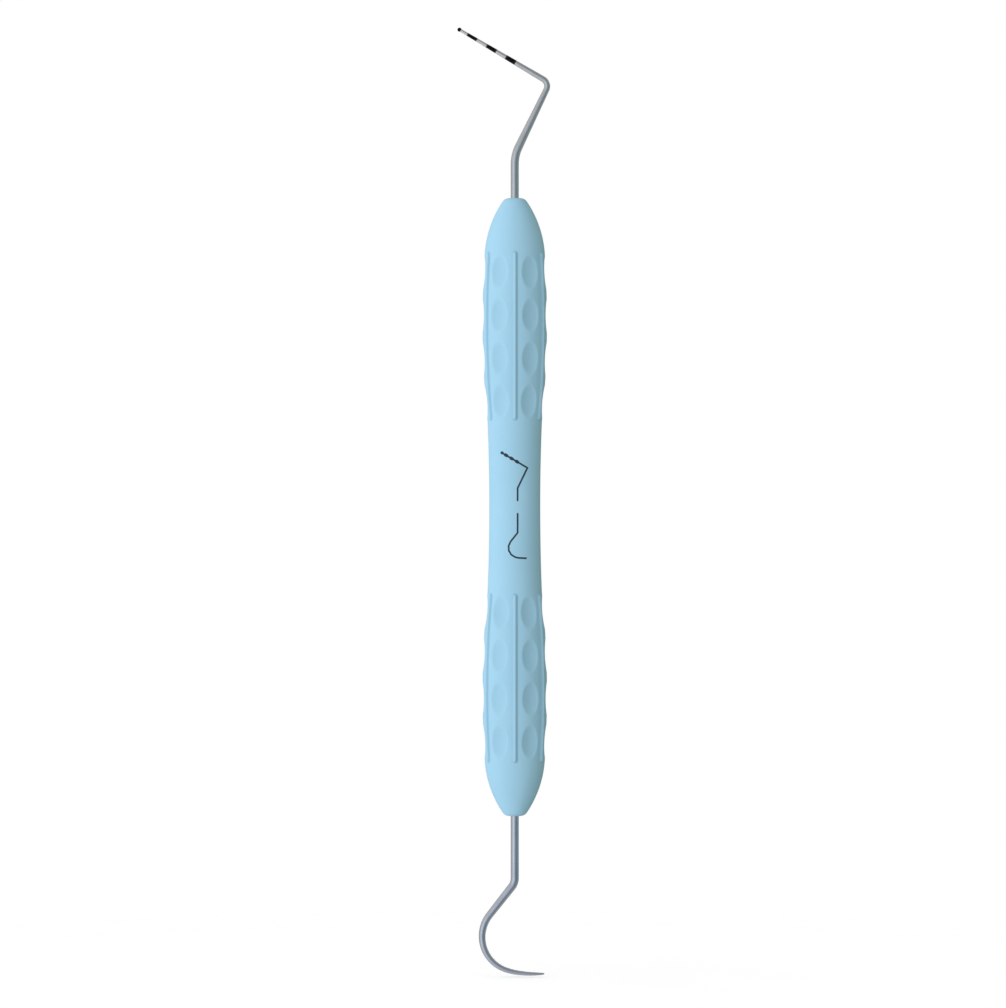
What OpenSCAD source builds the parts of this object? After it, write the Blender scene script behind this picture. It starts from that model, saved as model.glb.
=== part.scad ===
// Double-ended dental hand instrument: a ball-ended periodontal probe with depth bands at one end,
// a hook explorer at the other, and a soft moulded handle over a hollow steel core between them.
// The handle's axis is Z, the probe end is up, both wires bend in the XZ plane, and the origin is
// the middle of the handle's waist.

/* [Handle] */
// Length of the moulded sleeve, nose to nose
handle_l = 110.3; // [106:0.1:111]
// Diameter at the middle of the waist
waist_d = 9.1; // [8.8:0.1:9.5]
// Diameter where the waist meets a grip
waist_end_d = 9.7; // [9.6:0.1:10.2]
// Diameter at the fullest place of a grip
grip_d = 11.52; // [11:0.02:12.5]
// Height above the origin where a grip starts
grip_start_z = 15.2; // [14:0.1:16]
// Height of a grip's fullest place
grip_full_z = 33; // [31:0.5:35]
// Height where a grip ends and the nose starts to close in
nose_start_z = 44; // [43.8:0.1:44.5]
// Radius of the curve that closes the nose
nose_curve_r = 18.8; // [18:0.1:22]
// Rounding at the nose's end face
nose_edge_r = 1.4; // [0.8:0.1:1.6]

/* [Grip texture] */
// Number of panels round the grip, each between two ribs
panels = 6; // [5:1:7]
// Number of dimples along each panel
dimples_per_panel = 4; // [2:1:4]
// Height of the dimple nearest the waist
first_dimple_z = 18.8; // [18.4:0.1:19.4]
// Distance from dimple to dimple along a panel
dimple_pitch = 7.65; // [7:0.05:7.7]
// Length of a dimple along the handle
dimple_l = 5.9; // [5:0.1:6.4]
// Depth of a dimple at its middle
dimple_depth = 0.46; // [0.3:0.02:0.5]
// Radius of a dimple's hollow across the handle
dimple_across_r = 6.4; // [5:0.2:10]
// Width of a rib
rib_w = 0.62; // [0.4:0.02:0.9]
// How far a rib stands above the panels
rib_h = 0.34; // [0.1:0.02:0.4]

/* [Core] */
// Outside diameter of the core tube
core_d = 6; // [5.6:0.1:6.4]
// Wall of the core tube
core_wall = 0.5; // [0.3:0.1:0.8]
// Length of the core tube
core_l = 86; // [80:1:87]
// Depth of the grooves in the tube that the sleeve keys into
key_groove_depth = 0.15; // [0.05:0.05:0.2]
// Length of a plug's spigot inside the tube
spigot_l = 8; // [6:1:12]
// Length of a plug's cone in front of its flange
plug_cone_l = 8; // [6:0.5:8.5]
// Depth of the socket that holds a wire's tang
socket_l = 14; // [10:1:15]

/* [Probe end] */
// Diameter of the wire where it leaves the handle
shank_d = 1.45; // [1.2:0.05:1.6]
// Height of the first bend's corner above the nose
probe_neck_l = 7.7; // [6:0.1:10]
// Angle of the first bend
probe_first_bend = 25.8; // [15:0.2:35]
// Distance between the two bends' corners
probe_reach = 14.3; // [10:0.1:18]
// Angle of the second bend, back over the handle
probe_second_bend = 85.2; // [60:0.2:100]
// Distance from the second bend's corner to the ball's centre
probe_tip_l = 18.7; // [16:0.1:20]
// Diameter of the wire in the second bend
probe_elbow_d = 1.06; // [0.9:0.02:1.2]
// Diameter of the wire next to the ball
probe_neck_d = 0.52; // [0.4:0.02:0.54]
// Diameter of the finished ball
ball_d = 0.75; // [0.65:0.05:0.8]
// Width of a black band, and of the bare steel before it
band_step = 2; // [1:0.5:2]
// Thickness of the black coating in its groove
coat_t = 0.04; // [0.02:0.01:0.06]

/* [Explorer end] */
// Distance of the first bend's corner below the nose
explorer_neck_l = 12; // [9:0.1:14]
// Angle of the hook's first bend
hook_lean = 38.25; // [30:0.25:45]
// Distance from the first bend's corner to the start of the hook's curve
hook_lead_l = 7.25; // [5:0.05:9]
// Radius of the hook's main curve
hook_r = 6.26; // [5:0.02:7]
// Angle that the hook's main curve turns through
hook_turn = 109.75; // [95:0.25:115]
// Radius of the flatter curve that follows
easing_r = 12.4; // [10:0.1:16]
// Angle that the flatter curve turns through
easing_turn = 12; // [8:0.5:16]
// Radius of the last curve, up to the point
point_r = 24.9; // [20:0.1:40]
// Angle that the last curve turns through
point_turn = 10; // [6:0.5:14]
// How late the hook gets thin: 1 is an even taper, and lower stays thick for longer
taper_power = 0.38; // [0.3:0.02:1]
// Radius of the very point
point_tip_r = 0.04; // [0.02:0.01:0.08]

/* [Hidden] */
$fn = 64;
wide_curve_fn = 720; // for circles of which only a short bow is used

end_z = handle_l / 2;
waist_r = waist_d / 2;
waist_end_r = waist_end_d / 2;
grip_r = grip_d / 2;
core_r = core_d / 2;
shank_r = shank_d / 2;
// Radius of the circle through a bow's middle and its end, from half the chord and the rise.
function bow_r(half_chord, rise) = (half_chord * half_chord + rise * rise) / (2 * rise);
waist_curve_r = bow_r(grip_start_z, waist_end_r - waist_r);
grip_curve_r = bow_r(grip_full_z - grip_start_z, grip_r - waist_end_r);
// Radius of the grip's barrel at a height, without ribs and dimples.
function barrel_r(z) = grip_r - grip_curve_r + sqrt(pow(grip_curve_r, 2) - pow(z - grip_full_z, 2));
// The nose's curve starts where the barrel ends, upright there, and closes in towards the end face.
nose_centre = [barrel_r(nose_start_z) - nose_curve_r, nose_start_z];
edge_centre_z = end_z - nose_edge_r;
edge_centre_x = nose_centre.x
    + sqrt(pow(nose_curve_r - nose_edge_r, 2) - pow(edge_centre_z - nose_start_z, 2));
// Slope of the nose's curve where the end rounding takes over.
edge_angle = atan2(edge_centre_z - nose_start_z, edge_centre_x - nose_centre.x);
dimple_along_r = bow_r(dimple_l / 2, dimple_depth - pow(dimple_l / 2, 2) / (2 * grip_curve_r));
rib_overrun = 1.2; // how far a rib runs on over the nose

core_half_l = core_l / 2;
bore_r = core_r - core_wall;
flange_t = 1;
cone_tip_r = 1.7;
cone_base_z = core_half_l + flange_t;
cone_tip_z = cone_base_z + plug_cone_l;
tang_z = cone_tip_z - socket_l;
key_groove_w = 2;
key_groove_zs = [-30, -10, 10, 30];
retention_zs = [tang_z + 2, tang_z + 4, tang_z + 6];
retention_w = 0.8;
retention_depth = 0.1;

bands = 3; // one node for each
first_bend_r = 7;
elbow_bend_r = 1.45;
elbow_r = probe_elbow_d / 2;
neck_r = probe_neck_d / 2;
ball_r = ball_d / 2;
steel_ball_r = ball_r - coat_t;
hook_bend_r = 2.6;
// Length that a bend takes up on each side of its corner.
function bend_reach(angle, radius) = radius * tan(angle / 2);
tip_run = probe_tip_l - bend_reach(probe_second_bend, elbow_bend_r);
// Radius of the probe's tip at a distance from the ball's far end.
function tip_r(depth) = neck_r + (elbow_r - neck_r) * (depth - ball_r) / tip_run;

steel = "silver";
soft_blue = [0.64, 0.85, 0.96];
black = [0.06, 0.06, 0.07];
slack = 0.01; // overlap that joins neighbouring solids
clear = 1; // how far a cut runs on past a surface
lap = 0.05; // how far a wire's straight runs reach into its bends
hair = 0.003; // how much thicker a bend is than the runs it joins
beyond = 2 * grip_r; // well outside the handle

// ---------- shared shapes ----------

// Half-plane profile of the handle's outside, r along X and height along Y.
module outline() {
    // waist, hollowed by a wide curve
    difference() {
        translate([0, -grip_start_z]) square([waist_end_r, 2 * grip_start_z]);
        translate([waist_r + waist_curve_r, 0]) circle(r = waist_curve_r, $fn = wide_curve_fn);
    }
    end_outline();
    mirror([0, 1]) end_outline();
}

// Profile of one grip with its nose.
module end_outline() {
    barrel_outline(grip_start_z, nose_start_z, 0);
    // nose, up to the place where the end rounding takes over
    intersection() {
        translate(nose_centre) circle(r = nose_curve_r, $fn = wide_curve_fn / 4);
        translate([0, nose_start_z])
            square([beyond, edge_centre_z + nose_edge_r * sin(edge_angle) - nose_start_z]);
    }
    // end rounding, on this side of the axis, and the flat end face inside it
    intersection() {
        translate([edge_centre_x, edge_centre_z]) circle(r = nose_edge_r);
        square([beyond, end_z + clear]);
    }
    translate([0, edge_centre_z]) square([edge_centre_x, nose_edge_r]);
}

// Barrel of a grip between two heights, raised by a given amount.
module barrel_outline(from_z, to_z, raise) {
    intersection() {
        translate([grip_r - grip_curve_r, grip_full_z])
            circle(r = grip_curve_r + raise, $fn = wide_curve_fn);
        translate([0, from_z]) square([beyond, to_z - from_z]);
    }
}

// Both grips' places: the children as drawn, and their mirror image below the waist.
module at_both_ends() {
    children();
    mirror([0, 0, 1]) children();
}

module ribs() {
    intersection() {
        rotate_extrude() barrel_outline(grip_start_z, nose_start_z + rib_overrun, rib_h);
        for (i = [0 : panels - 1])
            rotate([0, 0, 90 + i * 360 / panels])
                translate([0, -rib_w / 2, 0]) cube([beyond, rib_w, end_z]);
    }
}

// One dimple's cutter: a lens-shaped body of revolution, leaning with the barrel's slope.
module dimple_cutter(z) {
    lean = asin((grip_full_z - z) / grip_curve_r);
    translate([barrel_r(z), 0, z])
        rotate([0, lean, 0])
            translate([dimple_across_r - dimple_depth, 0, 0])
                rotate_extrude() intersection() {
                    translate([dimple_across_r - dimple_along_r, 0]) circle(r = dimple_along_r);
                    translate([0, -dimple_l]) square([dimple_across_r, 2 * dimple_l]);
                }
}

module dimple_cutters() {
    for (i = [0 : panels - 1], k = [0 : dimples_per_panel - 1])
        rotate([0, 0, 90 + (i + 0.5) * 360 / panels])
            dimple_cutter(first_dimple_z + k * dimple_pitch);
}

// Straight start of a wire, from its tang's end up to a height, with shallow grooves that lock the
// tang in its socket, and the children carried on from its end.
module tang(to_z) {
    difference() {
        translate([0, 0, tang_z]) cylinder(h = to_z - tang_z + lap, r = shank_r);
        for (z = retention_zs)
            translate([0, 0, z]) difference() {
                cylinder(h = retention_w, r = shank_r + clear);
                cylinder(h = retention_w, r = shank_r - retention_depth);
            }
    }
    translate([0, 0, to_z]) children();
}

// A straight run of wire along +Z, between two bends, with the children carried on from its end.
module run(length, r1, r2) {
    translate([0, 0, -lap]) cylinder(h = length + 2 * lap, r1 = r1, r2 = r2);
    translate([0, 0, length]) children();
}

// A bend of the wire towards +X, or towards -X for a negative angle, with the children carried on.
// It is a hair thicker than the runs, which lap into it, so that no two surfaces coincide.
module bend(angle, radius, wire_r) {
    side = sign(angle);
    mirror([side > 0 ? 1 : 0, 0, 0])
        translate([-radius, 0, 0])
            rotate([90, 0, 0])
                rotate_extrude(angle = abs(angle))
                    translate([radius, 0]) circle(r = wire_r + hair);
    translate([side * radius, 0, 0])
        rotate([0, angle, 0])
            translate([-side * radius, 0, 0]) children();
}

// ---------- a wire that tapers along curves ----------

ring_sides = 24;
long_arc_steps = 24;
short_steps = 7;

// Place on a piece of path at share t: a piece is [length, angle turned], the result [x, z, heading].
function piece_place(piece, t) =
    piece[1] == 0
    ? [0, piece[0] * t, 0]
    : let (r = piece[0] / (piece[1] * PI / 180), a = piece[1] * t) [r * (1 - cos(a)), r * sin(a), a];

// The same place, seen from where the piece starts.
function carried(start, place) = [
    start[0] + place[0] * cos(start[2]) + place[1] * sin(start[2]),
    start[1] - place[0] * sin(start[2]) + place[1] * cos(start[2]),
    start[2] + place[2]
];

function path_places(pieces, i = 0, start = [0, 0, 0]) =
    i == len(pieces)
    ? [start]
    : let (steps = pieces[i][1] > 45 ? long_arc_steps : short_steps) concat(
        [for (k = [0 : steps - 1]) carried(start, piece_place(pieces[i], k / steps))],
        path_places(pieces, i + 1, carried(start, piece_place(pieces[i], 1)))
    );

// Length along the path up to each place.
function path_lengths(places, i = 0, so_far = 0) =
    i == len(places)
    ? []
    : let (step = i == 0 ? 0 : norm([places[i][0] - places[i - 1][0], places[i][1] - places[i - 1][1]]))
      concat([so_far + step], path_lengths(places, i + 1, so_far + step));

function ring(place, r) = [
    for (k = [0 : ring_sides - 1])
        let (a = k * 360 / ring_sides)
        [
            place[0] + r * cos(a) * cos(place[2]),
            r * sin(a),
            place[1] - r * cos(a) * sin(place[2])
        ]
];

// A solid whose round section follows the places, with one radius for each.
module swept_wire(places, radii) {
    rings = len(places);
    points = [for (i = [0 : rings - 1]) each ring(places[i], radii[i])];
    sides = [
        for (i = [0 : rings - 2], k = [0 : ring_sides - 1])
            let (a = i * ring_sides + k, b = i * ring_sides + (k + 1) % ring_sides)
            each [[a, a + ring_sides, b], [b, a + ring_sides, b + ring_sides]]
    ];
    first = [for (k = [0 : ring_sides - 1]) k];
    last = [for (k = [ring_sides - 1 : -1 : 0]) (rings - 1) * ring_sides + k];
    polyhedron(points, concat([first], sides, [last]));
}

// ---------- the pieces ----------

// Rings in the core tube's surface that the sleeve fills, out to a given radius.
module key_rings(outer_r) {
    for (z = key_groove_zs)
        translate([0, 0, z]) difference() {
            cylinder(h = key_groove_w, r = outer_r, center = true);
            cylinder(h = key_groove_w + clear, r = core_r - key_groove_depth, center = true);
        }
}

// Soft one-piece handle skin, moulded over the core, with ribs, dimples and a cavity for the core.
module grip_sleeve() {
    color(soft_blue) difference() {
        union() {
            rotate_extrude() outline();
            at_both_ends() ribs();
        }
        at_both_ends() dimple_cutters();
        difference() {
            cylinder(h = core_l + 2 * flange_t, r = core_r, center = true);
            key_rings(core_r);
        }
        at_both_ends() {
            translate([0, 0, cone_base_z]) cylinder(h = plug_cone_l, r1 = core_r, r2 = cone_tip_r);
            translate([0, 0, cone_base_z]) cylinder(h = end_z, r = shank_r);
        }
    }
}

// Hollow steel tube that stiffens the handle, with grooves that key it to the sleeve.
module core_tube() {
    color(steel) difference() {
        cylinder(h = core_l, r = core_r, center = true);
        cylinder(h = core_l + clear, r = bore_r, center = true);
        key_rings(core_r + clear);
    }
}

// Turned steel plug: spigot in the tube, flange on its end, cone under the nose, socket for a tang.
module end_plug() {
    color(steel) difference() {
        union() {
            translate([0, 0, core_half_l - spigot_l]) cylinder(h = spigot_l + slack, r = bore_r);
            translate([0, 0, core_half_l]) cylinder(h = flange_t, r = core_r);
            translate([0, 0, cone_base_z]) cylinder(h = plug_cone_l, r1 = core_r, r2 = cone_tip_r);
        }
        translate([0, 0, tang_z]) cylinder(h = socket_l + clear, r = shank_r);
    }
}

// The probe's straight tip along +Z, from its elbow to the steel inside the ball's coating.
module straight_tip() {
    rotate_extrude() polygon([
        [0, -lap], [elbow_r, -lap], [elbow_r, 0], [neck_r, tip_run], [0, tip_run]
    ]);
    translate([0, 0, tip_run]) sphere(r = steel_ball_r);
}

// Carries the children to the second bend's end, where +Z points along the probe's tip.
module at_elbow_end() {
    bend_z = end_z + probe_neck_l;
    translate([0, 0, bend_z])
        rotate([0, probe_first_bend, 0]) translate([0, 0, probe_reach])
            rotate([0, -probe_second_bend, 0])
                translate([0, 0, bend_reach(probe_second_bend, elbow_bend_r)]) children();
}

// Carries the children to the ball's far end, looking back along the tip.
module at_ball_end() {
    at_elbow_end() translate([0, 0, tip_run + ball_r]) mirror([0, 0, 1]) children();
}

// Ring that one band fills, from its groove's floor to a given height above the steel.
module band_space(i, above) {
    from_l = (2 * i + 1) * band_step;
    to_l = from_l + band_step;
    translate([0, 0, from_l]) difference() {
        cylinder(h = band_step, r1 = tip_r(from_l) + above, r2 = tip_r(to_l) + above);
        cylinder(h = band_step, r1 = tip_r(from_l) - coat_t, r2 = tip_r(to_l) - coat_t);
    }
}

// Bent and tapered steel wire of the probe, with a ball at its end and three band grooves.
module probe_shank() {
    first_z = end_z + probe_neck_l - bend_reach(probe_first_bend, first_bend_r);
    arm_l = probe_reach - bend_reach(probe_first_bend, first_bend_r)
        - bend_reach(probe_second_bend, elbow_bend_r);
    color(steel) difference() {
        tang(first_z)
            bend(probe_first_bend, first_bend_r, shank_r)
                run(arm_l, shank_r, elbow_r)
                    bend(-probe_second_bend, elbow_bend_r, elbow_r)
                        straight_tip();
        at_ball_end()
            for (i = [0 : bands - 1])
                band_space(i, clear);
    }
}

// Black coating of the ball, open where the wire enters it.
module ball_coat() {
    color(black) at_ball_end() difference() {
        translate([0, 0, ball_r]) sphere(r = ball_r);
        translate([0, 0, ball_r]) sphere(r = steel_ball_r);
        translate([0, 0, ball_r]) cylinder(h = ball_d, r = tip_r(ball_d));
    }
}

// One black band, filling its groove flush with the steel.
module depth_band(i) {
    color(black) at_ball_end() band_space(i, 0);
}

// Bent steel wire of the explorer, drawn with the hook up: it tapers from the bend to a fine point.
module explorer_wire() {
    bend_z = end_z + explorer_neck_l - bend_reach(hook_lean, hook_bend_r);
    hook_path = [
        [lap + hook_lead_l - bend_reach(hook_lean, hook_bend_r), 0],
        [hook_r * hook_turn * PI / 180, hook_turn],
        [easing_r * easing_turn * PI / 180, easing_turn],
        [point_r * point_turn * PI / 180, point_turn]
    ];
    places = path_places(hook_path);
    lengths = path_lengths(places);
    total = lengths[len(lengths) - 1];
    thinning = shank_r - point_tip_r;
    radii = [for (l = lengths) point_tip_r + thinning * pow(max(0, 1 - l / total), taper_power)];
    tang(bend_z)
        bend(-hook_lean, hook_bend_r, shank_r)
            translate([0, 0, -lap]) swept_wire(places, radii);
}

module explorer_shank() {
    color(steel) mirror([0, 0, 1]) explorer_wire();
}

grip_sleeve();
core_tube();
end_plug();  // probe_end_plug
mirror([0, 0, 1]) end_plug();  // explorer_end_plug
probe_shank();
explorer_shank();
ball_coat();
depth_band(0);  // depth_band_2_4
depth_band(1);  // depth_band_6_8
depth_band(2);  // depth_band_10_12
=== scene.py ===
import math

import bpy
import numpy as np
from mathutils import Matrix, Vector


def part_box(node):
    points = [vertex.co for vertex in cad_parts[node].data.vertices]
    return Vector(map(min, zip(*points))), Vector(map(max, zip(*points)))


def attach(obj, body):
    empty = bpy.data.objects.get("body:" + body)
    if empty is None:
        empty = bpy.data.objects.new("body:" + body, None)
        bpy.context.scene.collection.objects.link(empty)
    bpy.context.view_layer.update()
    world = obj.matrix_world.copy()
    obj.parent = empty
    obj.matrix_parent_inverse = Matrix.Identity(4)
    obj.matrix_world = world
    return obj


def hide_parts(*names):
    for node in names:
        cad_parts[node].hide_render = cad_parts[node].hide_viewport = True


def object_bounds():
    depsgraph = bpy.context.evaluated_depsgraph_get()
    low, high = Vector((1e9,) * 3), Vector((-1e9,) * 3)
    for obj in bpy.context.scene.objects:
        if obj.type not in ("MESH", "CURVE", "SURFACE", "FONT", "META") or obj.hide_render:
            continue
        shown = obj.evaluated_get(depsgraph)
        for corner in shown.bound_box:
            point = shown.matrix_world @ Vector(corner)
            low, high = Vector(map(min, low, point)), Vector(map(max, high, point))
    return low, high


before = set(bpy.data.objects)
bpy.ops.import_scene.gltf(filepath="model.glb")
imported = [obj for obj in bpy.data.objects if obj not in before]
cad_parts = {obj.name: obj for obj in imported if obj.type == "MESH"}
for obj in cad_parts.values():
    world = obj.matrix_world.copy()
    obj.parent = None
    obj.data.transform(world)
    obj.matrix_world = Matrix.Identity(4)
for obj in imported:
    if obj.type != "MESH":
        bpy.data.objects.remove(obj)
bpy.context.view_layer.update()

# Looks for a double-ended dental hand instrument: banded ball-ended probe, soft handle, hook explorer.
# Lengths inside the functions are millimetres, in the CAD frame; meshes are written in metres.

MM = 0.001


def box_mm(node):
    """A CAD node's lowest and highest corner."""
    low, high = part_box(node)
    return low / MM, high / MM


# ---------------------------------------------------------------- sizes read from the CAD model

END_Z = box_mm("grip_sleeve")[1].z
CORE_R = box_mm("core_tube")[1].y
CORE_Z = box_mm("core_tube")[1].z
PLUG_Z = box_mm("probe_end_plug")[1].z
TANG_Z = box_mm("probe_shank")[0].z

# ---------------------------------------------------------------- sizes the CAD source states

WAIST_R, WAIST_END_R, GRIP_R = 4.55, 4.85, 5.76
GRIP_START_Z, GRIP_FULL_Z, NOSE_START_Z = 15.2, 33.0, 44.0
NOSE_CURVE_R, NOSE_EDGE_R = 18.8, 1.4
PANELS, DIMPLES = 6, 4
FIRST_DIMPLE_Z, DIMPLE_PITCH = 18.8, 7.65
DIMPLE_L, DIMPLE_DEPTH, DIMPLE_ACROSS_R = 5.9, 0.46, 6.4
RIB_H, RIB_END_Z = 0.34, 45.2
RIB_START_INSET, RIB_END_INSET = 0.7, 0.2
FLANGE_T, CONE_TIP_R, KEY_DEPTH, KEY_W = 1.0, 1.7, 0.15, 2.0
UPPER_KEY_ZS = (30.0, 10.0)

SHANK_R = 0.725
RETENTION_STARTS, RETENTION_W, RETENTION_DEPTH = (2.0, 4.0, 6.0), 0.8, 0.1
PROBE_NECK_L, PROBE_FIRST_BEND, FIRST_BEND_R = 7.7, 25.8, 7.0
PROBE_REACH, PROBE_SECOND_BEND, ELBOW_BEND_R = 14.3, 85.2, 1.45
PROBE_TIP_L, ELBOW_R, NECK_R = 18.7, 0.53, 0.26
BALL_R, COAT_T, BAND_STEP, BANDS = 0.375, 0.04, 2.0, 3

HOOK_NECK_L, HOOK_LEAN, HOOK_BEND_R = 12.0, 38.25, 2.6
HOOK_LEAD_L, HOOK_R, HOOK_TURN = 7.25, 6.26, 109.75
EASING_R, EASING_TURN, POINT_R, POINT_TURN = 12.4, 12.0, 24.9, 10.0
TAPER_POWER, POINT_TIP_R = 0.38, 0.04


def bow_r(half_chord, rise):
    """Radius of the circle through a bow's middle and its end."""
    return (half_chord ** 2 + rise ** 2) / (2 * rise)


def bend_reach(angle, radius):
    return radius * math.tan(math.radians(angle) / 2)


def smoothstep(low, high, x):
    t = np.clip((x - low) / (high - low), 0.0, 1.0)
    return t * t * (3 - 2 * t)


def smooth_min(a, b, width):
    """The lower of two heights, with the corner between them rounded off."""
    h = np.clip(width - np.abs(a - b), 0.0, None) / width
    return np.minimum(a, b) - h * h * width / 4


# ---------------------------------------------------------------- node materials


class Nodes:
    """Small helper that builds a node tree from short calls."""

    def __init__(self, tree):
        self.tree = tree
        tree.nodes.clear()

    def add(self, kind, inputs=None, **settings):
        node = self.tree.nodes.new(kind)
        for key, value in settings.items():
            setattr(node, key, value)
        for key, value in (inputs or {}).items():
            if isinstance(value, bpy.types.NodeSocket):
                self.tree.links.new(value, node.inputs[key])
            else:
                node.inputs[key].default_value = value
        return node

    def math(self, operation, a, b=0.0, c=0.0):
        return self.add("ShaderNodeMath", {0: a, 1: b, 2: c}, operation=operation).outputs[0]

    def noise(self, vector, scale, detail=2.0, roughness=0.5):
        return self.add(
            "ShaderNodeTexNoise",
            {"Vector": vector, "Scale": scale, "Detail": detail, "Roughness": roughness},
        ).outputs["Fac"]

    def spread(self, value, low, high, from_low=0.3, from_high=0.7):
        """Maps a value to low..high. Nearly all of a noise's values lie in the default range."""
        return self.add(
            "ShaderNodeMapRange",
            {"Value": value, "From Min": from_low, "From Max": from_high, "To Min": low, "To Max": high},
        ).outputs[0]

    def along(self, vector, axis):
        """How far a vector reaches along an axis."""
        node = self.add("ShaderNodeVectorMath", {0: vector, 1: axis}, operation="DOT_PRODUCT")
        return node.outputs["Value"]

    def mix_colour(self, factor, a, b):
        node = self.add("ShaderNodeMix", data_type="RGBA")
        for key, value in ((0, factor), (6, a), (7, b)):
            if isinstance(value, bpy.types.NodeSocket):
                self.tree.links.new(value, node.inputs[key])
            else:
                node.inputs[key].default_value = value
        return node.outputs[2]

    def bump(self, height, distance, normal=None, strength=1.0):
        inputs = {"Height": height, "Distance": distance, "Strength": strength}
        if normal is not None:
            inputs["Normal"] = normal
        return self.add("ShaderNodeBump", inputs).outputs[0]


def millimetres(n, stretch=(1.0, 1.0, 1.0)):
    """Object coordinates in millimetres, stretched for directional textures."""
    place = n.add("ShaderNodeTexCoord").outputs["Object"]
    scale = tuple(s / MM for s in stretch)
    return n.add("ShaderNodeMapping", {"Vector": place, "Scale": scale}).outputs[0]


def uv_millimetres(n, around, along):
    """A piece's own map, in millimetres round it and along it, each stretched."""
    place = n.add("ShaderNodeUVMap", uv_map="mm").outputs[0]
    return n.add("ShaderNodeMapping", {"Vector": place, "Scale": (around, along, 1.0)}).outputs[0]


def new_material(name):
    material = bpy.data.materials.new(name)
    material.use_nodes = True
    return material, Nodes(material.node_tree)


def close_material(n, inputs):
    shader = n.add("ShaderNodeBsdfPrincipled", inputs)
    n.add("ShaderNodeOutputMaterial", {"Surface": shader.outputs[0]})


def stroke(n, place, start, end, width):
    """Distance from a stroke's edge: below 0 on the stroke."""
    way = end - start
    from_start = n.add("ShaderNodeVectorMath", {0: place, 1: start}, operation="SUBTRACT").outputs[0]
    share = n.spread(n.along(from_start, way), 0.0, 1.0, 0.0, way.length_squared)
    nearest = n.add("ShaderNodeVectorMath", {0: way, "Scale": share}, operation="SCALE").outputs[0]
    gap = n.add("ShaderNodeVectorMath", {0: from_start, 1: nearest}, operation="DISTANCE")
    return n.math("SUBTRACT", gap.outputs["Value"], width / 2)


def ink(n, place, grain):
    """Printed strokes on the handle's front, with slightly rough edges."""
    flat = n.add("ShaderNodeVectorMath", {0: place, 1: (1.0, 0.0, 1.0)}, operation="MULTIPLY").outputs[0]
    edge = None
    for start, end, width in printed_strokes():
        one = stroke(n, flat, start, end, width)
        edge = one if edge is None else n.math("MINIMUM", edge, one)
    edge = n.math("ADD", edge, n.spread(grain, -0.02, 0.02))
    front = n.spread(n.along(place, (0.0, 1.0, 0.0)), 1.0, 0.0, -1.0, 0.0)
    return n.math("MULTIPLY", front, n.spread(edge, 0.95, 0.0, -0.02, 0.02))


def silicone_material():
    material, n = new_material("silicone_light_blue")
    place = millimetres(n)
    clouds = n.spread(n.noise(place, 0.12, 3.0), 0.0, 1.0)
    colour = n.mix_colour(clouds, (0.355, 0.630, 0.798, 1.0), (0.371, 0.650, 0.818, 1.0))
    crest_and_painted_shade = n.add("ShaderNodeAttribute", attribute_name="crest_and_painted_shade").outputs["Fac"]
    # painted shade: darker silicone where the value is below 0, on the ribs' flanks and feet and in the
    # dimples
    painted_flank_shade = n.spread(crest_and_painted_shade, 0.17, 0.0, -1.0, 0.0)
    colour = n.mix_colour(painted_flank_shade, colour, (0.02, 0.06, 0.09, 1.0))
    crest = n.spread(crest_and_painted_shade, 0.0, 1.0, 0.0, 1.0)
    grain = n.noise(place, 9.0, 2.0, 0.6)
    ripple = n.noise(place, 0.9, 2.0)
    print_ink = ink(n, place, grain)
    colour = n.mix_colour(print_ink, colour, (0.010, 0.016, 0.026, 1.0))
    normal = n.bump(ripple, 0.012 * MM)
    normal = n.bump(grain, 0.02 * MM, normal)
    normal = n.bump(print_ink, 0.004 * MM, normal)
    smoother = n.math("MAXIMUM", crest, print_ink)
    close_material(n, {
        "Base Color": colour,
        "Roughness": n.math("MULTIPLY_ADD", smoother, -0.08, n.spread(grain, 0.52, 0.62)),
        "Specular IOR Level": 0.20,
        "Subsurface Weight": 0.05,
        "Subsurface Radius": (0.7, 0.9, 1.0),
        "Subsurface Scale": 0.4 * MM,
        "Normal": normal,
    })
    return material


def wire_material(name, darker, lighter, smoothest):
    """Drawn and polished stainless wire: fine lines along it, rubbed bright where it is used."""
    material, n = new_material(name)
    drawn = n.noise(uv_millimetres(n, 16.0, 0.35), 1.0, 3.0, 0.6)
    rubbed = n.noise(uv_millimetres(n, 0.5, 7.0), 1.0, 2.0)
    patches = n.noise(millimetres(n), 0.35, 2.0)
    wear = n.add("ShaderNodeAttribute", attribute_name="wear").outputs["Fac"]
    colour = n.mix_colour(n.spread(patches, 0.0, 1.0), darker, lighter)
    colour = n.mix_colour(n.math("MULTIPLY", wear, 0.8), colour, (0.88, 0.85, 0.81, 1.0))
    normal = n.bump(drawn, 0.0034 * MM, strength=n.math("MULTIPLY_ADD", wear, -0.6, 1.0))
    normal = n.bump(rubbed, 0.0015 * MM, normal)
    close_material(n, {
        "Base Color": colour,
        "Metallic": 1.0,
        "Roughness": n.math("MULTIPLY_ADD", wear, -0.07, n.spread(drawn, smoothest, smoothest + 0.12)),
        "Anisotropic": 0.35,
        "Normal": normal,
    })
    return material


def black_material():
    material, n = new_material("black_depth_coating")
    place = millimetres(n)
    speck = n.noise(place, 14.0, 2.0)
    clouds = n.spread(n.noise(place, 3.0), 0.0, 1.0)
    colour = n.mix_colour(clouds, (0.0025, 0.0025, 0.003, 1.0), (0.006, 0.006, 0.007, 1.0))
    wear = n.add("ShaderNodeAttribute", attribute_name="wear").outputs["Fac"]
    colour = n.mix_colour(n.math("MULTIPLY", wear, speck), colour, (0.05, 0.05, 0.052, 1.0))
    close_material(n, {
        "Base Color": colour,
        "Roughness": n.spread(speck, 0.42, 0.58),
        "Specular IOR Level": 0.08,
        "Normal": n.bump(speck, 0.003 * MM),
    })
    return material


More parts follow.
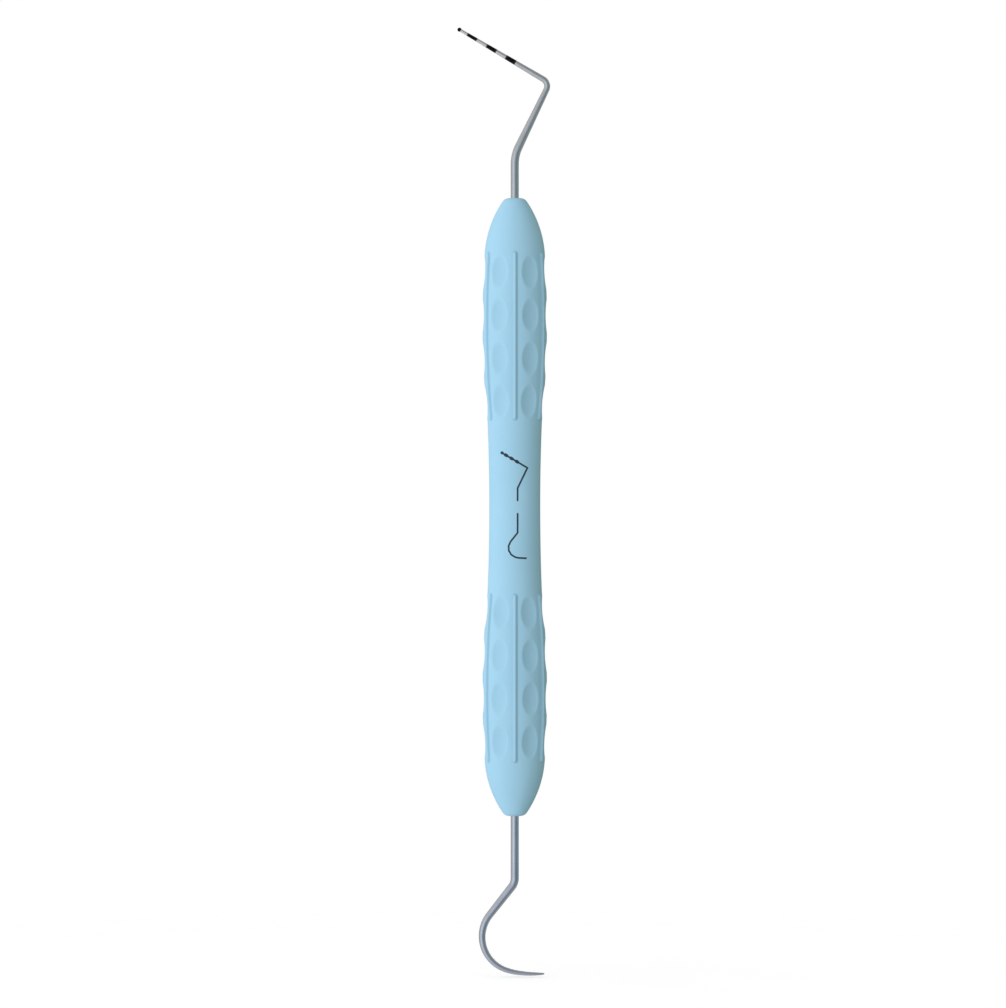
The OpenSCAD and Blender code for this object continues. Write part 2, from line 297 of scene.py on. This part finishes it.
def turned_material():
    """Turned stainless of the parts inside the handle: fine rings round the axis."""
    material, n = new_material("turned_stainless_core")
    rings = n.noise(millimetres(n, (0.15, 0.15, 9.0)), 1.0, 2.0)
    stain = n.spread(n.noise(millimetres(n), 0.4), 0.0, 1.0)
    close_material(n, {
        "Base Color": n.mix_colour(stain, (0.50, 0.51, 0.53, 1.0), (0.60, 0.60, 0.61, 1.0)),
        "Metallic": 1.0,
        "Roughness": n.spread(rings, 0.30, 0.45),
        "Normal": n.bump(rings, 0.006 * MM),
    })
    return material


# ---------------------------------------------------------------- meshes from rings of points


SHARP_DEG = 35.0


def ring_mesh(name, rings, around, along, material, cyclic=False):
    """A closed skin over rings of points, capped at both ends or joined last to first.

    rings: (rows, columns, 3) in mm. around and along: the map's mm per column and per row.
    """
    rows, cols = rings.shape[:2]
    verts = rings.reshape(-1, 3) * MM
    i, j = np.meshgrid(np.arange(rows if cyclic else rows - 1), np.arange(cols), indexing="ij")
    i2, j2 = (i + 1) % rows, (j + 1) % cols
    quads = np.stack([i * cols + j, i * cols + j2, i2 * cols + j2, i2 * cols + j], -1).reshape(-1, 4)
    faces = [list(map(int, q)) for q in quads]
    u = np.stack([around[j], around[j + 1], around[j + 1], around[j]], -1).reshape(-1, 4)
    v = np.stack([along[i], along[i], along[i + 1], along[i + 1]], -1).reshape(-1, 4)
    uv = [tuple(p) for p in np.stack([u, v], -1).reshape(-1, 2)]
    if not cyclic:
        first = list(range(cols))[::-1]
        last = [(rows - 1) * cols + k for k in range(cols)]
        faces += [first, last]
        uv += [(float(around[k]), float(along[0])) for k in first]
        uv += [(float(around[k - (rows - 1) * cols]), float(along[-1])) for k in last]
    mesh = bpy.data.meshes.new(name)
    mesh.from_pydata([tuple(p) for p in verts], [], faces)
    layer = mesh.uv_layers.new(name="mm")
    layer.data.foreach_set("uv", np.array(uv, np.float32).ravel())
    mesh.polygons.foreach_set("use_smooth", np.ones(len(faces), bool))
    mesh.materials.append(material)
    mesh.validate()
    mesh.set_sharp_from_angle(angle=math.radians(SHARP_DEG))
    mesh.update()
    piece = bpy.data.objects.new(name, mesh)
    bpy.context.scene.collection.objects.link(piece)
    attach(piece, "root")
    return piece


def set_values(piece, name, values):
    """One number for each point, which the piece's material reads by name."""
    data = piece.data.attributes.new(name, "FLOAT", "POINT").data
    data.foreach_set("value", np.asarray(values, np.float32).ravel())


# ---------------------------------------------------------------- the soft handle

WAIST_CURVE_R = bow_r(GRIP_START_Z, WAIST_END_R - WAIST_R)
GRIP_CURVE_R = bow_r(GRIP_FULL_Z - GRIP_START_Z, GRIP_R - WAIST_END_R)
EDGE_CENTRE_Z = END_Z - NOSE_EDGE_R
RIB_CREST, RIB_FOOT = 0.05, 0.56
RIM_SOFTNESS = 0.05
# where the crest value and the painted shade change, as distances from a rib's middle line and depths into
# a dimple
CREST_FADE = (0.05, 0.2)
FLANK_SHADE_MIDDLE, FLANK_SHADE_HALF_W = 0.38, 0.32
DIMPLE_SHADE_FADE, DIMPLE_PAINTED_SHADE = (-0.05, 0.25), 0.3


def barrel_r(z):
    return GRIP_R - GRIP_CURVE_R + np.sqrt(GRIP_CURVE_R ** 2 - (z - GRIP_FULL_Z) ** 2)


NOSE_X = float(barrel_r(NOSE_START_Z)) - NOSE_CURVE_R
EDGE_X = NOSE_X + math.sqrt((NOSE_CURVE_R - NOSE_EDGE_R) ** 2 - (EDGE_CENTRE_Z - NOSE_START_Z) ** 2)
EDGE_ANGLE = math.atan2(EDGE_CENTRE_Z - NOSE_START_Z, EDGE_X - NOSE_X)
SIDE_END_Z = EDGE_CENTRE_Z + NOSE_EDGE_R * math.sin(EDGE_ANGLE)


def side_r(height):
    """The handle's radius at a height, without ribs and dimples."""
    h = np.abs(height)
    waist = WAIST_R + WAIST_CURVE_R - np.sqrt(WAIST_CURVE_R ** 2 - h ** 2)
    nose = NOSE_X + np.sqrt(np.clip(NOSE_CURVE_R ** 2 - (h - NOSE_START_Z) ** 2, 0, None))
    return np.where(h < GRIP_START_Z, waist, np.where(h < NOSE_START_Z, barrel_r(h), nose))


def grip_relief(height, angle):
    """The handle's radius with ribs and dimples, and a value for its material: 1 on a rib's crest, -1 on
    its flanks, lower in the dimples; the material paints shade where it is below 0.
    """
    h = np.abs(height)
    base = side_r(height)
    sector = 2 * math.pi / PANELS
    # ribs: stadium-shaped ridges with round ends and soft feet
    from_rib = (angle + sector / 2) % sector - sector / 2
    before, after = GRIP_START_Z + RIB_START_INSET - h, h - (RIB_END_Z - RIB_END_INSET)
    past_end = np.maximum(0, np.maximum(before, after))
    distance = np.hypot(base * from_rib, past_end)
    ribbed = base + RIB_H * (1 - smoothstep(RIB_CREST, RIB_FOOT, distance))
    # 1 on the crest makes it smoother; the band of -1 on the flanks and feet marks where shade is painted
    crest_and_painted_shade = 1 - smoothstep(*CREST_FADE, distance)
    crest_and_painted_shade = crest_and_painted_shade - (1 - smoothstep(0.0, FLANK_SHADE_HALF_W, np.abs(distance - FLANK_SHADE_MIDDLE)))
    # dimples: the surface of a spindle laid against the panel's middle
    from_middle = angle % sector - sector / 2
    along_r = bow_r(DIMPLE_L / 2, DIMPLE_DEPTH)
    result = ribbed
    for k in range(DIMPLES):
        dz = h - (FIRST_DIMPLE_Z + k * DIMPLE_PITCH)
        spindle = DIMPLE_ACROSS_R - (along_r - np.sqrt(np.clip(along_r ** 2 - dz ** 2, 0, None)))
        centre = base - DIMPLE_DEPTH + DIMPLE_ACROSS_R
        side = centre * np.sin(from_middle)
        reach = centre * np.cos(from_middle) - np.sqrt(np.clip(spindle ** 2 - side ** 2, 0, None))
        near = (np.abs(side) < spindle) & (np.abs(dz) < DIMPLE_PITCH / 2)
        result = np.where(near, smooth_min(result, reach, RIM_SOFTNESS), result)
        # painted shade: the value drops inside each dimple, and the material darkens the silicone there
        crest_and_painted_shade = crest_and_painted_shade - np.where(near, DIMPLE_PAINTED_SHADE * smoothstep(*DIMPLE_SHADE_FADE, ribbed - reach), 0)
    return result, np.clip(crest_and_painted_shade, -1, 1)


def sector_angles():
    """Angles within one sector, close together on the rib and wider on the panel."""
    rib_half = 7.0
    rib = np.linspace(-rib_half, rib_half, 23)
    panel = np.linspace(rib_half, 360 / PANELS - rib_half, 33)[1:-1]
    return np.radians(np.concatenate([rib, panel]))


def grip_rows():
    """Heights of the rings up the outside: finest at the ribs' ends, coarsest on the waist."""
    rib_start = GRIP_START_Z - 0.6, GRIP_START_Z + 1.2
    rib_end = RIB_END_Z - 1.0, RIB_END_Z + 0.8
    half = np.concatenate([
        np.linspace(0, rib_start[0], 30)[:-1],
        np.linspace(rib_start[0], rib_start[1], 19)[:-1],
        np.linspace(rib_start[1], rib_end[0], 150)[:-1],
        np.linspace(rib_end[0], rib_end[1], 19)[:-1],
        np.linspace(rib_end[1], SIDE_END_Z, 32),
    ])
    return np.concatenate([-half[::-1], half[1:]])


def nose_end_rows():
    """(r, z) from the end of the side, over the rounded end face and into the wire's hole."""
    rows = []
    for a in np.linspace(EDGE_ANGLE, math.pi / 2, 14)[1:]:
        rows.append((EDGE_X + NOSE_EDGE_R * math.cos(a), EDGE_CENTRE_Z + NOSE_EDGE_R * math.sin(a)))
    lip = 0.07
    for a in np.linspace(0, math.pi / 2, 6):
        rows.append((SHANK_R + lip - lip * math.sin(a), END_Z - lip + lip * math.cos(a)))
    return rows


def cavity_rows():
    """(r, z) down the inside, from the upper wire hole to the waist's middle."""
    rows = [(SHANK_R, PLUG_Z), (CONE_TIP_R, PLUG_Z), (CORE_R, CORE_Z + FLANGE_T)]
    for z in UPPER_KEY_ZS:
        rows += [(CORE_R, z + KEY_W / 2), (CORE_R - KEY_DEPTH, z + KEY_W / 2)]
        rows += [(CORE_R - KEY_DEPTH, z - KEY_W / 2), (CORE_R, z - KEY_W / 2)]
    return rows


def make_grip():
    angles = np.concatenate([sector_angles() + k * 2 * math.pi / PANELS for k in range(PANELS)])
    heights = grip_rows()
    outer, crest_and_painted_shade = grip_relief(heights[:, None], angles[None, :])
    rows = [(outer[i], z) for i, z in enumerate(heights)]
    upper = nose_end_rows() + cavity_rows()
    rows += upper
    rows += [(r, -z) for r, z in reversed(upper)]
    cos_a, sin_a = np.cos(angles - math.pi / 2), np.sin(angles - math.pi / 2)
    rings = np.array([
        np.stack([np.broadcast_to(r, angles.shape) * cos_a, np.broadcast_to(r, angles.shape) * sin_a,
                  np.full(angles.shape, z)], -1)
        for r, z in rows
    ])
    around = np.append(angles, angles[0] + 2 * math.pi) * GRIP_R
    along = np.concatenate([[0.0], np.cumsum([
        math.hypot(float(np.mean(rows[(i + 1) % len(rows)][0]) - np.mean(rows[i][0])),
                   rows[(i + 1) % len(rows)][1] - rows[i][1])
        for i in range(len(rows))
    ])])
    grip = ring_mesh("soft_grip", rings, around, along, SILICONE, cyclic=True)
    values = np.zeros(rings.shape[:2])
    values[:len(heights)] = crest_and_painted_shade
    set_values(grip, "crest_and_painted_shade", values)
    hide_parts("grip_sleeve")


# ---------------------------------------------------------------- the wires

WIRE_SIDES, COAT_SIDES = 40, 48
# distances between rings on straight, tapered, bent and tightly bent stretches
STRAIGHT_STEP, TAPER_STEP, BEND_STEP, TIGHT_STEP, ELBOW_STEP = 0.4, 0.2, 0.12, 0.08, 0.05
# the smallest rings, which close the ends of a ball and of its coating
POLE_R, COAT_POLE_R = 0.004, 0.003


def wire_path(start, pieces):
    """Walks a planar wire and returns rows of x, z, heading and length so far.

    pieces: (length, degrees turned towards +X, longest step).
    """
    x, z, heading, s = 0.0, start, 0.0, 0.0
    rows = [(x, z, heading, s)]
    for length, turned, step in pieces:
        count = max(1, math.ceil(length / step))
        part, bit = length / count, math.radians(turned) / count
        for _ in range(count):
            middle = heading + bit / 2
            chord = part if bit == 0 else part * math.sin(bit / 2) / (bit / 2)
            x, z = x + chord * math.sin(middle), z + chord * math.cos(middle)
            heading, s = heading + bit, s + part
            rows.append((x, z, heading, s))
    return np.array(rows)


def tube_rings(path, radii, flip):
    """Round rings square to the path; flip -1 turns the wire upside down."""
    a = np.linspace(0, 2 * math.pi, WIRE_SIDES, endpoint=False)
    x, z, heading = path[:, 0], path[:, 1], path[:, 2]
    out = radii[:, None] * np.cos(a)[None, :]
    rings = np.stack([
        x[:, None] + out * np.cos(heading)[:, None],
        radii[:, None] * np.sin(a)[None, :] * np.ones_like(out),
        (z[:, None] - out * np.sin(heading)[:, None]) * flip,
    ], -1)
    return rings if flip > 0 else rings[:, ::-1]


def at_length(path, s):
    """The path's place and heading at a length along it."""
    return np.array([np.interp(s, path[:, 3], path[:, k]) for k in range(3)] + [s])


def make_wire(name, node, path, profile, flip, material, used_l, shine):
    """profile: (length along the path, radius) rows; two rows at one length make a step.

    used_l: how much of the wire, from its tip, is rubbed bright.
    shine: how bright its tip is, from 0 to 1.
    """
    rows = np.array([at_length(path, s) for s, r in profile])
    radii = np.array([r for s, r in profile])
    around = np.linspace(0, 2 * math.pi, WIRE_SIDES + 1) * SHANK_R
    along = np.append(rows[:, 3], rows[-1, 3])
    wire = ring_mesh(name, tube_rings(rows, radii, flip), around, along, material)
    wear = smoothstep(rows[-1, 3] - used_l, rows[-1, 3], rows[:, 3])
    set_values(wire, "wear", np.repeat(shine * wear, WIRE_SIDES))
    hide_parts(node)


def tang_profile():
    """The grooved tang inside the handle, from its end up to the last groove."""
    edge = 0.12
    rows = [(0.0, SHANK_R - edge), (edge, SHANK_R)]
    floor_r = SHANK_R - RETENTION_DEPTH
    for start in RETENTION_STARTS:
        end = start + RETENTION_W
        rows += [(start, SHANK_R), (start, floor_r), (end, floor_r), (end, SHANK_R)]
    return rows


FIRST_REACH = bend_reach(PROBE_FIRST_BEND, FIRST_BEND_R)
ELBOW_REACH = bend_reach(PROBE_SECOND_BEND, ELBOW_BEND_R)
TIP_RUN = PROBE_TIP_L - ELBOW_REACH


def tip_r(depth):
    """Radius of the probe's tip at a distance from the ball's far end."""
    return NECK_R + (ELBOW_R - NECK_R) * (depth - BALL_R) / TIP_RUN


def band_span(i):
    return (2 * i + 1) * BAND_STEP, (2 * i + 2) * BAND_STEP


def make_probe():
    straight = END_Z + PROBE_NECK_L - FIRST_REACH - TANG_Z
    first_l = math.radians(PROBE_FIRST_BEND) * FIRST_BEND_R
    arm = PROBE_REACH - FIRST_REACH - ELBOW_REACH
    elbow_l = math.radians(PROBE_SECOND_BEND) * ELBOW_BEND_R
    path = wire_path(TANG_Z, [
        (straight, 0, STRAIGHT_STEP), (first_l, PROBE_FIRST_BEND, BEND_STEP), (arm, 0, STRAIGHT_STEP),
        (elbow_l, -PROBE_SECOND_BEND, ELBOW_STEP), (TIP_RUN + BALL_R, 0, TAPER_STEP),
    ])
    arm_s = straight + first_l
    elbow_s = arm_s + arm
    tip_s = elbow_s + elbow_l
    end_s = tip_s + TIP_RUN + BALL_R
    profile = tang_profile()
    profile += [(s, SHANK_R) for s in path[:, 3] if profile[-1][0] < s <= arm_s]
    profile += [(s, SHANK_R + (ELBOW_R - SHANK_R) * (s - arm_s) / arm)
                for s in path[:, 3] if arm_s < s <= elbow_s]
    profile += [(s, ELBOW_R) for s in path[:, 3] if elbow_s < s <= tip_s]
    # the straight tip, counted from the ball's far end, with a step at each groove's ends
    clear_of_edge, wall = 0.02, 1e-4
    depths = [TIP_RUN + BALL_R - (s - tip_s) for s in path[:, 3] if s > tip_s]
    stops = [edge for i in range(BANDS) for edge in band_span(i)]
    rows = [(d, tip_r(d) - COAT_T * any(band_span(i)[0] < d < band_span(i)[1] for i in range(BANDS)))
            for d in depths if d > 2 * BALL_R and all(abs(d - e) > clear_of_edge for e in stops)]
    for i in range(BANDS):
        low, high = band_span(i)
        rows += [(high + wall, tip_r(high)), (high, tip_r(high) - COAT_T)]
        rows += [(low, tip_r(low) - COAT_T), (low - wall, tip_r(low))]
    rows.sort(key=lambda row: -row[0])
    steel_r = BALL_R - COAT_T
    meet = math.asin(tip_r(2 * BALL_R) / steel_r)
    for a in np.linspace(meet, math.pi, 18):
        rows.append((BALL_R + steel_r * math.cos(a), max(steel_r * math.sin(a), POLE_R)))
    profile += [(end_s - d, r) for d, r in rows]
    make_wire("probe_wire", "probe_shank", path, profile, 1, PROBE_STEEL, PROBE_TIP_L, 1.0)
    tip = at_length(path, end_s)
    back = -np.array([math.sin(tip[2]), 0.0, math.cos(tip[2])])
    return np.array([tip[0], 0.0, tip[1]]), back


def lathe_about_tip(name, node, end, back, rows, worn):
    """A closed loop of (distance from the ball's end, radius) rows turned about the probe's tip.

    worn: how worn each row is, from 0 to 1.
    """
    a = np.linspace(0, 2 * math.pi, COAT_SIDES, endpoint=False)
    across = np.array([back[2], 0.0, -back[0]])
    depth = np.array([0.0, 1.0, 0.0])
    rings = np.array([
        end + back * d + r * (np.cos(a)[:, None] * across + np.sin(a)[:, None] * depth)
        for d, r in rows
    ])
    around = np.linspace(0, 2 * math.pi, COAT_SIDES + 1) * ELBOW_R
    steps = [math.dist(rows[i], rows[(i + 1) % len(rows)]) for i in range(len(rows))]
    along = np.concatenate([[0.0], np.cumsum(steps)])
    piece = ring_mesh(name, rings[:, ::-1], around, along, BLACK, cyclic=True)
    set_values(piece, "wear", np.repeat(worn, COAT_SIDES))
    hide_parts(node)


def make_bands(end, back):
    bevel, proud = 0.012, 0.003
    for i, node in enumerate(("depth_band_2_4", "depth_band_6_8", "depth_band_10_12")):
        low, high = band_span(i)
        low_r, high_r = tip_r(low), tip_r(high)
        rows = [(low, low_r - COAT_T), (low, low_r - bevel), (low + bevel, low_r + proud)]
        rows += [(d, tip_r(d) + proud) for d in np.linspace(low, high, 6)[1:-1]]
        rows += [(high - bevel, high_r + proud), (high, high_r - bevel), (high, high_r - COAT_T)]
        worn = [0.0 if low + bevel < d < high - bevel else 1.0 for d, r in rows]
        lathe_about_tip(node.replace("depth", "black"), node, end, back, rows, worn)


def make_ball(end, back):
    """The ball's coating: a shell with a soft collar where the wire comes out."""
    hole_r = tip_r(2 * BALL_R)
    steel_r = BALL_R - COAT_T
    collar = 1.06
    rows = []
    for a in np.linspace(math.asin(hole_r / BALL_R) * collar, math.pi, 28):
        rows.append((BALL_R + BALL_R * math.cos(a), max(BALL_R * math.sin(a), COAT_POLE_R)))
    for a in np.linspace(math.pi, math.asin(hole_r / steel_r), 20):
        rows.append((BALL_R + steel_r * math.cos(a), max(steel_r * math.sin(a), COAT_POLE_R)))
    worn_l, worn_share = 0.1 * BALL_R, 0.5
    worn = [worn_share if d < worn_l else 0.0 for d, r in rows]
    lathe_about_tip("black_ball", "ball_coat", end, back, rows, worn)


def make_explorer():
    bend_l = math.radians(HOOK_LEAN) * HOOK_BEND_R
    reach = bend_reach(HOOK_LEAN, HOOK_BEND_R)
    straight = END_Z + HOOK_NECK_L - reach - TANG_Z
    path = wire_path(TANG_Z, [
        (straight, 0, STRAIGHT_STEP), (bend_l, -HOOK_LEAN, TIGHT_STEP),
        (HOOK_LEAD_L - reach, 0, TAPER_STEP),
        (math.radians(HOOK_TURN) * HOOK_R, HOOK_TURN, BEND_STEP),
        (math.radians(EASING_TURN) * EASING_R, EASING_TURN, BEND_STEP),
        (math.radians(POINT_TURN) * POINT_R, POINT_TURN, TIGHT_STEP),
    ])
    taper_s = straight + bend_l
    total = path[-1, 3] - taper_s
    profile = tang_profile()
    profile += [(s, SHANK_R) for s in path[:, 3] if profile[-1][0] < s <= taper_s]
    for s in path[:, 3]:
        if s > taper_s:
            share = max(0.0, 1 - (s - taper_s) / total)
            profile.append((s, POINT_TIP_R + (SHANK_R - POINT_TIP_R) * share ** TAPER_POWER))
    make_wire("explorer_wire", "explorer_shank", path, profile, -1, HOOK_STEEL, HOOK_R, 0.35)


# ---------------------------------------------------------------- the print on the waist


def printed_strokes():
    """The print on the waist: a small plain outline of each tip on its own side of the middle.

    Each stroke is (start, end, width) in the XZ plane. The outlines are the wires' own centre lines,
    made smaller and with sharp corners in place of bends.
    """
    scale, gap, aside, line_w, dot_w = 0.28, 1.2, 0.5, 0.32, 0.58
    dot_l, bar_l = 0.05, 0.5 * BAND_STEP
    corner, whole = 0.01, math.inf
    probe = wire_path(0.0, [
        (PROBE_NECK_L, 0, whole), (corner, PROBE_FIRST_BEND, whole), (PROBE_REACH, 0, whole),
        (corner, -PROBE_SECOND_BEND, whole), (PROBE_TIP_L, 0, whole),
    ])
    hook = wire_path(0.0, [
        (HOOK_NECK_L, 0, whole), (corner, -HOOK_LEAN, whole), (HOOK_LEAD_L, 0, whole),
        (math.radians(HOOK_TURN) * HOOK_R, HOOK_TURN, HOOK_R / 2),
        (math.radians(EASING_TURN) * EASING_R, EASING_TURN, whole),
        (math.radians(POINT_TURN) * POINT_R, POINT_TURN, whole),
    ])

    def spot(path, s, side):
        x, z, heading, s = at_length(path, s)
        return Vector((aside + x * scale, 0.0, side * (gap + z * scale)))

    strokes = []
    for path, side in ((probe, 1), (hook, -1)):
        for a, b in zip(path[:-1, 3], path[1:, 3]):
            if b - a > 2 * corner:
                strokes.append((spot(path, a, side), spot(path, b, side), line_w))
    # a dot for the ball and a short bar for each band
    end_s = probe[-1, 3]
    marks = [(end_s, dot_l)] + [(end_s - sum(band_span(i)) / 2, bar_l) for i in range(BANDS)]
    for middle, length in marks:
        start, end = spot(probe, middle - length / 2, 1), spot(probe, middle + length / 2, 1)
        strokes.append((start, end, dot_w))
    return strokes


# ---------------------------------------------------------------- the pieces

SILICONE = silicone_material()
PROBE_STEEL = wire_material(
    "satin_stainless_probe", (0.605, 0.61, 0.62, 1.0), (0.68, 0.685, 0.69, 1.0), smoothest=0.24)
HOOK_STEEL = wire_material(
    "polished_stainless_hook", (0.585, 0.61, 0.675, 1.0), (0.66, 0.685, 0.75, 1.0), smoothest=0.17)
BLACK = black_material()
TURNED = turned_material()

make_grip()
tip_end, tip_back = make_probe()
make_bands(tip_end, tip_back)
make_ball(tip_end, tip_back)
make_explorer()

for node in ("core_tube", "probe_end_plug", "explorer_end_plug"):
    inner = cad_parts[node]
    inner.data.materials.clear()
    inner.data.materials.append(TURNED)

# ---------------------------------------------------------------- floor, light and camera

FLOOR_GAP = 0.0003
FLOOR_R = 0.16
FLOOR_GLOW = 0.36


def make_floor():
    """A pale round floor under the hook. It fades into the white surroundings and is clear from below."""
    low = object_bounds()[0].z - FLOOR_GAP
    sides = 96
    ring = [(FLOOR_R * math.cos(t * 2 * math.pi / sides), FLOOR_R * math.sin(t * 2 * math.pi / sides), low)
            for t in range(sides)]
    mesh = bpy.data.meshes.new("floor")
    mesh.from_pydata(ring, [], [list(range(sides))])
    material, n = new_material("pale_floor")
    place = n.add("ShaderNodeTexCoord").outputs["Object"]
    flat = n.add("ShaderNodeVectorMath", {0: place, 1: (1.0, 1.0, 0.0)}, operation="MULTIPLY").outputs[0]
    distance = n.add("ShaderNodeVectorMath", {0: flat}, operation="LENGTH").outputs["Value"]
    fade = n.spread(distance, 1.0, 0.0, 0.25 * FLOOR_R, FLOOR_R)
    back = n.add("ShaderNodeNewGeometry").outputs["Backfacing"]
    solid = n.math("MULTIPLY", fade, n.math("SUBTRACT", 1.0, back))
    grain = n.spread(n.noise(millimetres(n), 0.05), 0.86, 0.88)
    diffuse = n.add("ShaderNodeBsdfDiffuse", {"Color": n.mix_colour(grain, (0, 0, 0, 1), (1, 1, 1, 1))})
    glow = n.add("ShaderNodeEmission", {"Color": (1, 1, 1, 1), "Strength": FLOOR_GLOW})
    lit = n.add("ShaderNodeAddShader", {0: diffuse.outputs[0], 1: glow.outputs[0]})
    clear = n.add("ShaderNodeBsdfTransparent")
    mixed = n.add("ShaderNodeMixShader", {0: solid, 1: clear.outputs[0], 2: lit.outputs[0]})
    n.add("ShaderNodeOutputMaterial", {"Surface": mixed.outputs[0]})
    mesh.materials.append(material)
    floor = bpy.data.objects.new("floor", mesh)
    floor.visible_glossy = floor.visible_diffuse = False
    bpy.context.scene.collection.objects.link(floor)


def ramp(n, factor, stops):
    """Colours over a whole turn; stops are given in degrees from straight ahead."""
    node = n.add("ShaderNodeValToRGB", {"Fac": factor})
    elements = node.color_ramp.elements
    elements.remove(elements[-1])
    elements[0].color = (*stops[0][1], 1.0)
    for degrees, colour in stops[1:]:
        elements.new((degrees + 180) / 360).color = (*colour, 1.0)
    return node.outputs["Color"]


def toward(degrees, rise):
    """Direction from the object: degrees to the right of the camera, and degrees above level."""
    a, e = math.radians(degrees), math.radians(rise)
    return Vector((math.sin(a) * math.cos(e), -math.cos(a) * math.cos(e), math.sin(e)))


def camera_direction(n):
    """Directions as the front camera has them, so that the light turns with the camera."""
    seen_from = n.add("ShaderNodeSeparateXYZ", {0: n.add("ShaderNodeTexCoord").outputs["Camera"]}).outputs
    right, up, ahead = seen_from
    turned = n.add("ShaderNodeCombineXYZ", {0: right, 1: ahead, 2: up}).outputs[0]
    return n.add("ShaderNodeVectorMath", {0: turned}, operation="NORMALIZE").outputs[0]


def matte_light(n, direction):
    """What matte surfaces get: it falls off from left to right, and more steeply far right."""
    middle = 0.764
    gains, losses = (0.42, 0.42, 0.48), (-0.18, -0.145, -0.20)
    rise = n.along(direction, toward(-70.0, 0.0))
    fall = n.math("MAXIMUM", n.along(direction, toward(125.0, 0.0)), 0.0)
    return n.add("ShaderNodeCombineXYZ", {
        i: n.math("MULTIPLY_ADD", fall, losses[i], n.math("MULTIPLY_ADD", rise, gains[i], middle))
        for i in range(3)
    }).outputs[0]


def mirror_light(n, direction):
    """What shiny surfaces see: a bright panel ahead and a little left, and dusk on the right.

    High up and low down it changes to plainer greys.
    """
    axes = n.add("ShaderNodeSeparateXYZ", {0: direction}).outputs
    dark_side = Vector((0.985, 0.0, 0.17))
    turn = n.math("ARCTAN2", n.along(direction, dark_side), n.math("MULTIPLY", axes[1], -1.0))
    turn = n.spread(turn, 0.0, 1.0, -math.pi, math.pi)
    level = ramp(n, turn, [
        (-180, (0.32, 0.33, 0.33)), (-110, (0.50, 0.51, 0.51)), (-70, (0.60, 0.62, 0.63)),
        (-48, (0.83, 0.89, 0.94)), (-30, (0.90, 0.97, 1.04)), (-8, (0.55, 0.63, 0.70)),
        (15, (0.26, 0.33, 0.38)), (40, (0.16, 0.245, 0.285)), (60, (0.16, 0.25, 0.285)),
        (90, (0.27, 0.37, 0.385)), (130, (0.34, 0.38, 0.385)), (180, (0.32, 0.33, 0.33)),
    ])
    steep = ramp(n, turn, [
        (-180, (0.36, 0.36, 0.37)), (-110, (0.60, 0.59, 0.61)), (-70, (0.66, 0.66, 0.68)),
        (-40, (0.60, 0.61, 0.64)), (-8, (0.42, 0.44, 0.47)), (15, (0.29, 0.31, 0.335)),
        (45, (0.245, 0.265, 0.285)), (90, (0.40, 0.42, 0.43)), (130, (0.48, 0.49, 0.50)),
        (180, (0.36, 0.36, 0.37)),
    ])
    # directions below level count as less steep than those above
    slant = n.math("MAXIMUM", axes[2], n.math("MULTIPLY", axes[2], -0.6))
    return n.mix_colour(n.spread(slant, 0.0, 1.0, 0.05, 0.40), level, steep)


def make_world():
    """White to the camera; to the object, a soft studio: bright on the left, dim and cool on the right."""
    world = bpy.data.worlds.new("studio")
    bpy.context.scene.world = world
    world.use_nodes = True
    n = Nodes(world.node_tree)
    direction = camera_direction(n)
    rays = n.add("ShaderNodeLightPath").outputs
    seen = n.mix_colour(rays["Is Glossy Ray"], matte_light(n, direction), mirror_light(n, direction))
    seen = n.mix_colour(rays["Is Camera Ray"], seen, (1.0, 1.0, 1.0, 1.0))
    light = n.add("ShaderNodeBackground", {"Color": seen, "Strength": 1.0})
    n.add("ShaderNodeOutputWorld", {"Surface": light.outputs[0]})


def make_key_lamp():
    """A weak, wide lamp on the left, which turns with the camera."""
    key = bpy.data.lights.new("key", "SUN")
    key.energy = 0.32
    key.angle = math.radians(18.0)
    lamp = bpy.data.objects.new("key", key)
    lamp.rotation_euler = toward(-50.0, 10.0).to_track_quat("Z", "Y").to_euler()
    lamp.visible_glossy = False
    bpy.context.scene.collection.objects.link(lamp)
    camera = bpy.context.scene.camera
    lamp.parent = camera
    bpy.context.view_layer.update()
    lamp.matrix_parent_inverse = camera.matrix_world.inverted()


def make_camera():
    """Looks straight at the instrument along +Y from afar, with the whole length in the picture."""
    data = bpy.data.cameras.new("camera")
    data.lens, data.sensor_width = 200.0, 36.0
    data.clip_start, data.clip_end = 0.01, 20.0
    camera = bpy.data.objects.new("camera", data)
    picture_h, middle_x, middle_z = 0.180, -2.10 * MM, 0.54 * MM
    camera.location = (middle_x, -picture_h * data.lens / data.sensor_width, middle_z)
    camera.rotation_euler = (math.pi / 2, 0.0, 0.0)
    bpy.context.scene.collection.objects.link(camera)
    bpy.context.scene.camera = camera


make_floor()
make_camera()
make_world()
make_key_lamp()
bpy.context.scene.view_settings.view_transform = "Standard"
bpy.context.scene.view_settings.look = "None"
